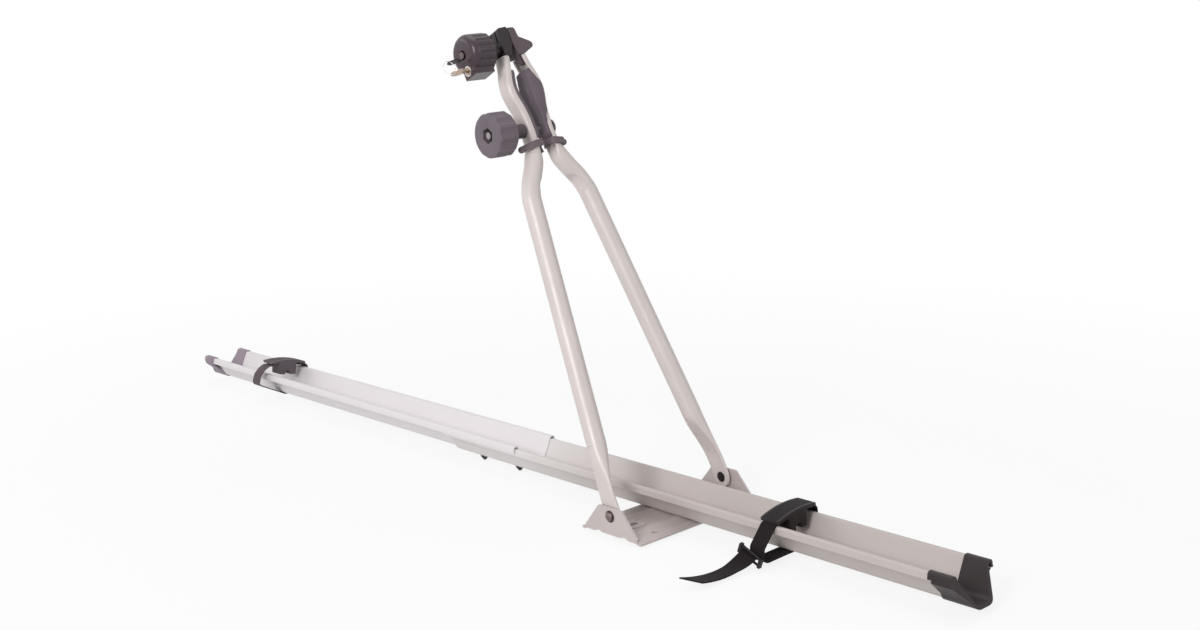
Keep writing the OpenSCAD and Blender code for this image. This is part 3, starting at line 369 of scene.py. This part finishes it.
LOOKS = {
    "bracket_paint": (paint, (0.55, 0.49, 0.48), dict(rough=0.46)),
    "arm_paint": (paint, (0.65, 0.585, 0.565), dict(rough=0.40)),
    # the front rail's paler tone near the splice is painted reflection
    "rail_front": (drawn_metal, (0.53, 0.475, 0.455), dict(rough=0.54, painted_reflection=(0.72, 0.685, 0.68))),
    # the rear rail's paler tone, lighter than the front rail's aluminium, is painted reflection
    "rail_rear": (drawn_metal, (0.785, 0.748, 0.76), dict(rough=0.52, streak=0.035)),
    "cap_plastic": (plastic, (0.025, 0.0168, 0.0185), dict(rough=0.46)),
    # a lighter copy of the black cap plastic for the rear cap: painted haze
    "cap_worn": (plastic, (0.31, 0.255, 0.305), dict(rough=0.55)),
    "pad_rubber": (plastic, (0.145, 0.115, 0.136), dict(rough=0.66, grain=0.35, grain_scale=900, spec=0.25)),
    "tip_plastic": (plastic, (0.1, 0.076, 0.086), dict(rough=0.5)),
    "strap_plastic": (plastic, (0.135, 0.107, 0.12), dict(rough=0.5)),
    "clip_plastic": (plastic, (0.026, 0.0195, 0.0225), dict(rough=0.5)),
    "knob_gloss": (plastic, (0.056, 0.036, 0.0455),
                   dict(rough=0.3, grain=0.06, grain_scale=900, spec=0.2, coat=0.3)),
    "knob_matte": (plastic, (0.15, 0.121, 0.142), dict(rough=0.6, grain=0.4, grain_scale=1200)),
    "holder_plastic": (plastic, (0.0125, 0.0086, 0.0096), dict(rough=0.46, spec=0.25)),
    # a lighter copy of the holder plastic for the rear buckle: painted haze
    "holder_worn": (plastic, (0.118, 0.096, 0.108), dict(rough=0.52)),
    "steel": (metal, (0.40, 0.37, 0.36), dict(rough=0.36)),
    "pivot_steel": (pivot_head, (0.21, 0.165, 0.16), dict()),
    "stud_steel": (metal, (0.15, 0.122, 0.12), dict(rough=0.42)),
    "neck_stud": (bolt_two_tone, (0.42, 0.38, 0.38), dict(far=(0.15, 0.122, 0.134), y0=-0.03, y1=-0.02)),
    "ring_wire": (metal, (0.82, 0.81, 0.8), dict(rough=0.24)),
    "front_saddle": (saddle, (0.019, 0.0135, 0.015), dict(band=(0.0115, 0.0078, 0.0085), x=FRONT_X * MM)),
    # the rear block and its band are lighter copies of the front ones: painted haze
    "rear_saddle": (saddle, (0.118, 0.096, 0.108), dict(band=(0.1, 0.08, 0.088), x=REAR_X * MM)),
    "black_steel": (metal, (0.05, 0.044, 0.047), dict(rough=0.45)),
    "brass": (metal, (0.44, 0.335, 0.26), dict(rough=0.34, brushed=(1, 14, 1))),
    "lock_metal": (metal, (0.60, 0.57, 0.54), dict(rough=0.28)),
    "webbing": (woven, (0.0105, 0.0072, 0.008), dict()),
    # a lighter copy of the black webbing for the rear strap: painted haze
    "webbing_worn": (woven, (0.116, 0.091, 0.1), dict()),
}
MATS = {name: make(name, colour, **values) for name, (make, colour, values) in LOOKS.items()}

WELD_DISTANCE = 2e-6


# clean shading of a carried-over solid: weld its split corners, then smooth below an angle
def smooth_group(angle):
    name = "smooth_%d" % angle
    if name in bpy.data.node_groups:
        return bpy.data.node_groups[name]
    g = bpy.data.node_groups.new(name, "GeometryNodeTree")
    g.interface.new_socket("Geometry", in_out="INPUT", socket_type="NodeSocketGeometry")
    g.interface.new_socket("Geometry", in_out="OUTPUT", socket_type="NodeSocketGeometry")
    n = g.nodes
    first, last = n.new("NodeGroupInput"), n.new("NodeGroupOutput")
    drop = n.new("GeometryNodeRemoveAttribute")
    drop.inputs["Name"].default_value = "custom_normal"
    merge = n.new("GeometryNodeMergeByDistance")
    merge.inputs["Distance"].default_value = WELD_DISTANCE
    turn = n.new("GeometryNodeInputMeshEdgeAngle")
    below = n.new("FunctionNodeCompare")
    below.operation = "LESS_EQUAL"
    below.inputs["B"].default_value = math.radians(angle)
    edges, faces = n.new("GeometryNodeSetShadeSmooth"), n.new("GeometryNodeSetShadeSmooth")
    edges.domain = "EDGE"
    link = g.links.new
    link(first.outputs[0], drop.inputs["Geometry"])
    link(drop.outputs["Geometry"], merge.inputs["Geometry"])
    link(merge.outputs["Geometry"], faces.inputs["Geometry"])
    link(faces.outputs["Geometry"], edges.inputs["Geometry"])
    link(turn.outputs["Unsigned Angle"], below.inputs["A"])
    link(below.outputs["Result"], edges.inputs["Shade Smooth"])
    link(edges.outputs["Geometry"], last.inputs[0])
    return g


def smooth(o, angle):
    o.modifiers.new("smooth", "NODES").node_group = smooth_group(angle)


def dress(names, material, bevel=0.0, angle=32, segments=2):
    for name in names.split():
        o = nodes[name]
        o.data.materials.clear()
        o.data.materials.append(MATS[material])
        smooth(o, angle)
        if bevel:
            b = o.modifiers.new("edge", "BEVEL")
            b.width = bevel * MM
            b.segments = segments
            b.limit_method = "ANGLE"
            b.angle_limit = math.radians(angle)
            b.miter_outer = "MITER_ARC"


# moulded pieces are rounded in finer steps
MOULDED = dict(angle=28, segments=3)
dress("base_bracket", "bracket_paint", 0.5)
dress("front_rail", "rail_front", 0.2)
dress("rear_rail", "rail_rear", 0.2)
dress("front_end_cap", "cap_plastic", 0.45, **MOULDED)
# the rear cap takes the lighter copy of its plastic: painted haze
dress("rear_end_cap", "cap_worn", 0.45, **MOULDED)
dress("splice_bolts splice_spacers rail_bolts rail_spacers rail_nuts", "steel", 0.2)
dress("splice_nuts", "black_steel", 0.25)
dress("near_pivot_bolt far_pivot_bolt", "pivot_steel", 0.2)
dress("near_pivot_washer far_pivot_washer near_pivot_nut far_pivot_nut", "black_steel", 0.15)
dress("far_arm near_arm", "arm_paint", angle=40)
dress("far_tip", "tip_plastic", 1.0, **MOULDED)
dress("near_tip", "clip_plastic", 1.0, **MOULDED)
dress("far_clip near_clip", "strap_plastic", 0.6, **MOULDED)
dress("neck_insert", "steel", 0.3)
dress("clamp_bolt", "stud_steel", 0.3)
dress("lock_collar", "clip_plastic", 0.4)
dress("neck_collar", "tip_plastic", 0.4)
dress("neck_bolt", "neck_stud", 0.4)
dress("lock_knob", "knob_gloss", 0.6, **MOULDED)
dress("neck_knob", "knob_matte", 0.6, **MOULDED)
dress("lock_insert lock_plug lock_key", "brass", 0.15)
dress("lock_ring", "lock_metal", 0.15)
dress("key_ring", "ring_wire")
dress("spare_key", "black_steel", 0.15)
dress("front_block", "front_saddle", 0.8, **MOULDED)
# the rear block takes the lighter copy of the saddle: painted haze
dress("rear_block", "rear_saddle", 0.8, **MOULDED)
dress("front_buckle", "holder_plastic", 0.5, **MOULDED)
# the rear buckle takes the lighter copy of its plastic: painted haze
dress("rear_buckle", "holder_worn", 0.5, **MOULDED)


# pieces made here: a skin of rings, each ring a closed row of points in millimetres
def skin(name, rings, material, body=None, uvs=None):
    bm = bmesh.new()
    layer = bm.loops.layers.uv.new("UVMap") if uvs is not None else None
    rows = [[bm.verts.new(Vector(p) * MM) for p in ring] for ring in rings]
    where = {}
    if uvs is not None:
        for row, values in zip(rows, uvs):
            where.update(zip(row, values))
    m = len(rows[0])
    for r0, r1 in zip(rows[:-1], rows[1:]):
        for j in range(m):
            bm.faces.new((r0[j], r0[(j + 1) % m], r1[(j + 1) % m], r1[j]))
    bm.faces.new(rows[0][::-1])
    bm.faces.new(rows[-1])
    bmesh.ops.recalc_face_normals(bm, faces=bm.faces)
    for face in bm.faces:
        face.smooth = True
        if layer is not None:
            for loop in face.loops:
                loop[layer].uv = where[loop.vert]
    me = bpy.data.meshes.new(name)
    bm.to_mesh(me)
    bm.free()
    me.materials.append(MATS[material])
    o = bpy.data.objects.new(name, me)
    scene.collection.objects.link(o)
    if body:
        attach(o, body)
    return o


# the arm's own frame: n square to the arms, y across, s along the arm from the pivot
def from_arm(n, y, s):
    c, k = math.cos(LEAN), math.sin(LEAN)
    return (n * c - s * k, y, PIVOT_Z / MM + n * k + s * c)


# an arm's middle line, elbow to neck and neck to eye, as shares of the way up and of the step across
BEND = ((0.12, 0.875), (0.245, 0.715), (0.366, 0.5), (0.49, 0.3), (0.585, 0.18), (0.695, 0.075), (0.8, 0.025))
EYE = ((0.22, 0.24), (0.4, 0.83), (0.51, 1.0), (0.64, 0.7))


def jaw_knots():
    slope = (FOOT_Y - ELBOW_Y) / ELBOW_S
    rise, eye = NECK_S - ELBOW_S, CLAMP_S - NECK_S
    k = [(s, FOOT_Y - s * slope) for s in (ELBOW_S - 40, ELBOW_S - 2)]
    k += [(ELBOW_S + a * rise, NECK_Y + w * (ELBOW_Y - NECK_Y)) for a, w in BEND]
    k.append((NECK_S, NECK_Y))
    k += [(NECK_S + a * eye, NECK_Y + w * (EYE_Y - NECK_Y)) for a, w in EYE]
    return k + [(JAW_END - 14, NECK_Y + 1.3), (JAW_END, NECK_Y - 1.7), (JAW_END + 14, NECK_Y - 4.3)]


KNOTS = jaw_knots()


def jaw_y(s):
    """The middle line's place across at s, by a smooth curve through the knots."""
    k = KNOTS
    i = 1
    while s > k[i + 1][0] and i < len(k) - 3:
        i += 1
    h = k[i + 1][0] - k[i][0]
    t = (s - k[i][0]) / h
    m0, m1 = ((k[j + 1][1] - k[j - 1][1]) / (k[j + 1][0] - k[j - 1][0]) * h for j in (i, i + 1))
    return ((2 * t ** 3 - 3 * t * t + 1) * k[i][1] + (t ** 3 - 2 * t * t + t) * m0
            + (3 * t * t - 2 * t ** 3) * k[i + 1][1] + (t ** 3 - t * t) * m1)


def on_jaw(s, a, b, side):
    """A point off the middle line at s: a outwards and square to the line, b square to the arms."""
    d = jaw_y(s + 0.5) - jaw_y(s - 0.5)
    q = math.sqrt(1 + d * d)
    return from_arm(b, side * (jaw_y(s) + a / q), s - a * d / q)


def ease(a, b, x):
    t = min(1.0, max(0.0, (x - a) / (b - a)))
    return t * t * (3 - 2 * t)


def rounded(points):
    """Cut the corners of a closed row of points."""
    p = np.array(points, float)
    q = np.roll(p, -1, axis=0)
    return np.stack([0.75 * p + 0.25 * q, 0.25 * p + 0.75 * q], 1).reshape(-1, p.shape[1])


# soft liners of the jaws: half width, back face, rounding of the ends, rows between them
LINER_HALF, LINER_BACK, LINER_ROUND, LINER_ROWS = 10.8, -2.65, 2.2, 64
LINER_FOOT, LINER_HEAD = NECK_S - 15, JAW_END - 15
SLIM_DEPTH = 4.5
# the grip side of a liner's half section, as shares of its depth and half width
GRIP = ((0.3, 1.0), (0.7, 1.0), (0.93, 0.965), (1.0, 0.87), (0.97, 0.6), (0.93, 0.3), (0.92, 0.0))
# how far the bolt way runs across
BOLT_WAY = (-4.0, 40.0)


def cut_bolt_way(o, side, hole, drop):
    """Take a round way out of a liner, lengthened by drop towards the foot."""
    loop = []
    for degrees in range(0, 360, 10):
        a = math.radians(degrees)
        low = drop if degrees > 180 else 0
        loop.append((hole * math.cos(a), NECK_S + hole * math.sin(a) - low))
    rings = [[from_arm(n, side * y, s) for n, s in loop] for y in BOLT_WAY]
    cutter = skin(o.name + "_cut", rings, "pad_rubber")
    cut = o.modifiers.new("bolt_way", "BOOLEAN")
    cut.object = cutter
    cut.solver = "EXACT"
    bpy.context.view_layer.update()
    done = bpy.data.meshes.new_from_object(o.evaluated_get(bpy.context.evaluated_depsgraph_get()))
    o.modifiers.clear()
    o.data = done
    bpy.data.objects.remove(cutter)


def liner(name, node, side, full, hole, drop, body):
    """A liner skin along the jaw; a full one bulges to the middle and lips over the jaw's flanges."""
    s0, s1, half, back = LINER_FOOT, LINER_HEAD, LINER_HALF, LINER_BACK
    eye = CLAMP_S - NECK_S

    def depth(s):
        """The thickness at s: thin at both ends; a full liner reaches close to the middle plane."""
        ends = 0.25 + 0.75 * ease(s0, s0 + 9, s) * (1 - 0.4 * ease(s1 - 7, s1, s))
        face = 6 - 2.25 * ease(NECK_S, NECK_S + 0.35 * eye, s) - 2 * ease(NECK_S + 0.66 * eye, s1, s)
        face += 1.3 * ease(NECK_S + 0.5 * eye, NECK_S + 0.64 * eye, s)
        return ends * (jaw_y(s) + back - face if full else SLIM_DEPTH)

    def section(s):
        """The closed cross-section at s, mirrored from its right half."""
        wide = ease(NECK_S + 2, NECK_S + 9, s) * (1 - ease(s1 - 12, s1 - 5, s)) if full else 0
        lip = ease(NECK_S + 9, NECK_S + 20, s) * (1 - ease(s1 - 24, s1 - 12, s)) if full else 0
        d, e, g, h = depth(s), half - 0.4 + 2 * wide, half - 0.9 + 1.05 * wide, back + 0.1 + 4 * lip
        inner = [(3.3, 5.6), (2.6, 7.2), (1.4, 7.5), (back, 7.55), (back, g), (h, g), (h, e)]
        right = inner + [(back - d * k, e * w) for k, w in GRIP]
        return rounded(right + [(a, -b) for a, b in right[-2::-1]])

    brim = [LINER_ROUND * (1 - math.cos(math.radians(15 * k))) for k in range(1, 6)]
    stations = [s0 + r for r in brim]
    stations += list(np.linspace(s0 + LINER_ROUND, s1 - LINER_ROUND, LINER_ROWS))
    stations += [s1 - r for r in brim[::-1]]
    rings = []
    for s in stations:
        u = min(1.0, (s - s0) / LINER_ROUND, (s1 - s) / LINER_ROUND)
        shrink = math.sqrt(max(0.0, 1 - (1 - u) ** 2))
        row = section(s)
        mid = row.mean(axis=0)
        rings.append([on_jaw(s, *(mid + (p - mid) * shrink), side) for p in row])
    o = skin(name, rings, "pad_rubber", body)
    cut_bolt_way(o, side, hole, drop)
    smooth(o, 50)
    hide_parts(node)


liner("far_liner", "far_pad", 1, True, 4.2, 0.0, "frame_arm")
liner("near_liner", "near_pad", -1, False, 4.8, 3.4, "near_jaw")


# webbing
def curve_arc(cy, cz, r, a0, a1, n):
    turns = [math.radians(a0 + (a1 - a0) * i / n) for i in range(n + 1)]
    return [(cy + r * math.cos(a), cz + r * math.sin(a)) for a in turns]


def lengths(p):
    """The way along a line of points, from its start to each point."""
    return np.concatenate([[0], np.cumsum(np.linalg.norm(np.diff(p, axis=0), axis=1))])


def flowing(points, step=0.8, soft=1.3):
    """Even steps along a line of (y, z) points, with its corners eased."""
    p = np.array(points, float)
    run = lengths(p)
    s = np.linspace(0, run[-1], int(run[-1] / step) + 1)
    q = np.stack([np.interp(s, run, p[:, k]) for k in range(2)], 1)
    reach = int(4 * soft / step)
    w = np.exp(-0.5 * (np.arange(-reach, reach + 1) * step / soft) ** 2)
    w /= w.sum()
    ends = np.vstack([2 * q[0] - q[reach:0:-1], q, 2 * q[-1] - q[-2:-reach - 2:-1]])
    return np.stack([np.convolve(ends[:, k], w, "valid") for k in range(2)], 1)


# cross-section: a plump selvedge and a flat middle, as shares of half the width and half the thickness
SELVEDGE = ((-1.0, 0.3), (-0.985, 0.72), (-0.95, 0.96), (-0.9, 1.0), (-0.84, 0.9))
FLAT = ((-0.6, 0.86), (-0.3, 0.86), (0, 0.86), (0.3, 0.86), (0.6, 0.86))
FACE = SELVEDGE + FLAT + tuple((-b, h) for b, h in SELVEDGE[::-1])
SECTION = FACE + tuple((b, -h) for b, h in FACE[::-1])


def strap(name, node, x, lift, line, material, body):
    """A strip of webbing along a line of (y, z) points, its weave laid out in metres."""
    p = flowing(line)
    d = np.gradient(p, axis=0)
    d /= np.linalg.norm(d, axis=1)[:, None]
    rings, uvs = [], []
    for (y, z), (ty, tz), s in zip(p, d, lengths(p)):
        ring, marks = [], []
        for b, h in SECTION:
            out = h * STRAP_T / 2
            ring.append((x + b * STRAP_W / 2, y - tz * out, z + ty * out + lift))
            marks.append((s * MM, (b + 1) * STRAP_W / 2 * MM))
        rings.append(ring)
        uvs.append(marks)
    o = skin(name, rings, material, body, uvs)
    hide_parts(node)


# each line starts on the block's far side, rounds the far rim and the rail's foot, and comes up the near side
SOLE = -STRAP_T / 2 - 0.35
BUCKLE = (-RIM - 19.3, TOP - 21.6)
FOOT_TURN = curve_arc(6, 8.2, 9.55, -35, -90, 5)
front_line = ([(22.5, TOP + 6.4), (28, TOP + 6.6)]
              + curve_arc(RIM - 3, TOP + 1.4, 5.2, 80, 0, 5)
              + [(RIM + 2.2, TOP - 7.6)]
              + FOOT_TURN
              + [(-20, SOLE - 0.3), (-43, SOLE - 0.9)]
              + curve_arc(-43.5, 4.4, 6.4, -95, -200, 6)
              + [(BUCKLE[0] + 1.2, BUCKLE[1] + 2.2)]
              + [(-RIM, TOP + 0.5), (-RIM + 2.8, TOP + 1.25), (-22.5, TOP + 1.3)])
rear_line = ([(20, TOP + 6), (26, TOP + 4.9)]
             + curve_arc(RIM - 1.3, TOP, 4.6, 80, 0, 5)
             + [(RIM + 3.3, TOP - 8.6)]
             + FOOT_TURN
             + [(-8, SOLE - 0.2)]
             + curve_arc(-45.4, 23.2, 4.2, -119, -190, 5)
             + [(-45.6, 34.5), (-37.5, 42), (-30, TOP + 13.2), (-20, TOP + 12.6)])
strap("front_webbing", "front_strap", FRONT_X, TRAY_Z / MM, front_line, "webbing", "front_holder")
# the rear strap takes the lighter copy of the webbing: painted haze
strap("rear_webbing", "rear_strap", REAR_X, TRAY_Z / MM + REAR_LIFT, rear_line, "webbing_worn", "rear_holder")

# the loose end: rows, share of its line that it covers, slant of the cut, millimetres along the whole line
TAIL_ROWS, TAIL_SHARE, TAIL_SLANT, TAIL_RUN = 110, 0.76, 0.06, 116
# its twist at the buckle and at the tip, in degrees, and the share of the line over which it untwists
TWIST, TIP_TWIST, UNTWISTED = 22, 3.4, 0.3


def loose_end():
    """The free end: out between the bars of the skewed buckle, untwisting as it hangs, cut at a slant."""
    def mid(t):
        """The middle line: out from the buckle, falling and then levelling off."""
        x = FRONT_X - 8 - 3.8 * t
        y = BUCKLE[0] - 1 - 109 * t
        z = TRAY_Z / MM + BUCKLE[1] - 4.8 - 53.7 * t + 77.4 * t * t - 20.6 * t ** 3
        return np.array((x, y, z))

    rings, uvs = [], []
    for t in np.linspace(0, 1, TAIL_ROWS):
        row, marks = [], []
        for b, h in SECTION:
            v = t * (TAIL_SHARE - TAIL_SLANT * b)
            a = math.radians(TWIST * (1 - ease(0, UNTWISTED, v)) + TIP_TWIST * v)
            w = np.array((math.cos(a), 0, -math.sin(a)))
            n = np.cross(mid(v + 0.01) - mid(v - 0.01), w)
            row.append(tuple(mid(v) + w * b * STRAP_W / 2 + n / np.linalg.norm(n) * h * STRAP_T / 2))
            marks.append((v * TAIL_RUN * MM, (b + 1) * STRAP_W / 2 * MM))
        rings.append(row)
        uvs.append(marks)
    o = skin("front_loose_end", rings, "webbing", "front_holder", uvs)
    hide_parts("front_tail")


loose_end()

# floor, backdrop and light: sizes in metres; how far the floor whitens out, and from which share to white
FLOOR_R, FLOOR_DROP, FLOOR_GREY = 60.0, 0.0006, 0.86
FADE_FROM, FADE_TO, FADE_SHARE = 0.45, 1.3, 0.86
WORLD_LIGHT, WORLD_SEEN = 0.36, 1.0


def seen_directly(tree):
    """One for camera, glossy and transmission rays, zero for the others."""
    path = tree.nodes.new("ShaderNodeLightPath")
    seen = path.outputs["Is Camera Ray"]
    for ray in ("Is Glossy Ray", "Is Transmission Ray"):
        either = tree.nodes.new("ShaderNodeMath")
        either.operation = "MAXIMUM"
        tree.links.new(seen, either.inputs[0])
        tree.links.new(path.outputs[ray], either.inputs[1])
        seen = either.outputs[0]
    return seen


def lay_floor():
    n = Nodes("floor")
    n.tree.nodes.remove(n.bsdf)
    out = n.tree.nodes["Material Output"]
    diffuse = n.add("ShaderNodeBsdfDiffuse", Color=(FLOOR_GREY, FLOOR_GREY, FLOOR_GREY, 1))
    glow = n.add("ShaderNodeEmission", Color=(1, 1, 1, 1), Strength=1.0)
    blend = n.add("ShaderNodeMixShader")
    spread = n.add("ShaderNodeVectorMath", operation="LENGTH")
    n.link(n.coords(scale=(0.7, 1, 1)), spread.inputs[0])
    white = n.ramp(spread.outputs["Value"], FADE_FROM, FADE_TO, FADE_SHARE, 1.0)
    n.link(n.math("MULTIPLY", seen_directly(n.tree), white), blend.inputs[0])
    n.link(diffuse.outputs[0], blend.inputs[1])
    n.link(glow.outputs[0], blend.inputs[2])
    n.link(blend.outputs[0], out.inputs["Surface"])
    bm = bmesh.new()
    place = Matrix.Translation((0, 0, cad_box[0][2] - FLOOR_DROP))
    bmesh.ops.create_circle(bm, cap_ends=True, radius=FLOOR_R, segments=96, matrix=place)
    me = bpy.data.meshes.new("floor")
    bm.to_mesh(me)
    bm.free()
    me.materials.append(n.mat)
    floor = bpy.data.objects.new("floor", me)
    scene.collection.objects.link(floor)


def light_world():
    world = bpy.data.worlds.new("studio")
    world.use_nodes = True
    scene.world = world
    tree = world.node_tree
    back = tree.nodes["Background"]
    back.inputs["Color"].default_value = (1, 1, 1, 1)
    level = tree.nodes.new("ShaderNodeMapRange")
    level.inputs["To Min"].default_value = WORLD_LIGHT
    level.inputs["To Max"].default_value = WORLD_SEEN
    tree.links.new(seen_directly(tree), level.inputs["Value"])
    tree.links.new(level.outputs["Result"], back.inputs["Strength"])


def lamp(name, at, aim, size, power):
    data = bpy.data.lights.new(name, "AREA")
    data.shape = "RECTANGLE"
    data.size, data.size_y = size
    data.energy = power
    o = bpy.data.objects.new(name, data)
    scene.collection.objects.link(o)
    o.location = at
    o.rotation_euler = (Vector(aim) - Vector(at)).to_track_quat("-Z", "Y").to_euler()


lay_floor()
light_world()
lamp("key", at=(0.8, -2.5, 1.6), aim=(-0.2, 0, 0.25), size=(1.0, 1.2), power=45)
lamp("top", at=(-0.6, 0.2, 3.0), aim=(-0.3, 0, 0.1), size=(2.6, 1.6), power=22)
lamp("end", at=(-1.9, -1.5, 1.1), aim=(-0.8, 0, 0.0), size=(0.9, 0.9), power=5)
lamp("side", at=(2.6, 1.4, 1.7), aim=(0, 0, 0.25), size=(0.8, 1.8), power=9)
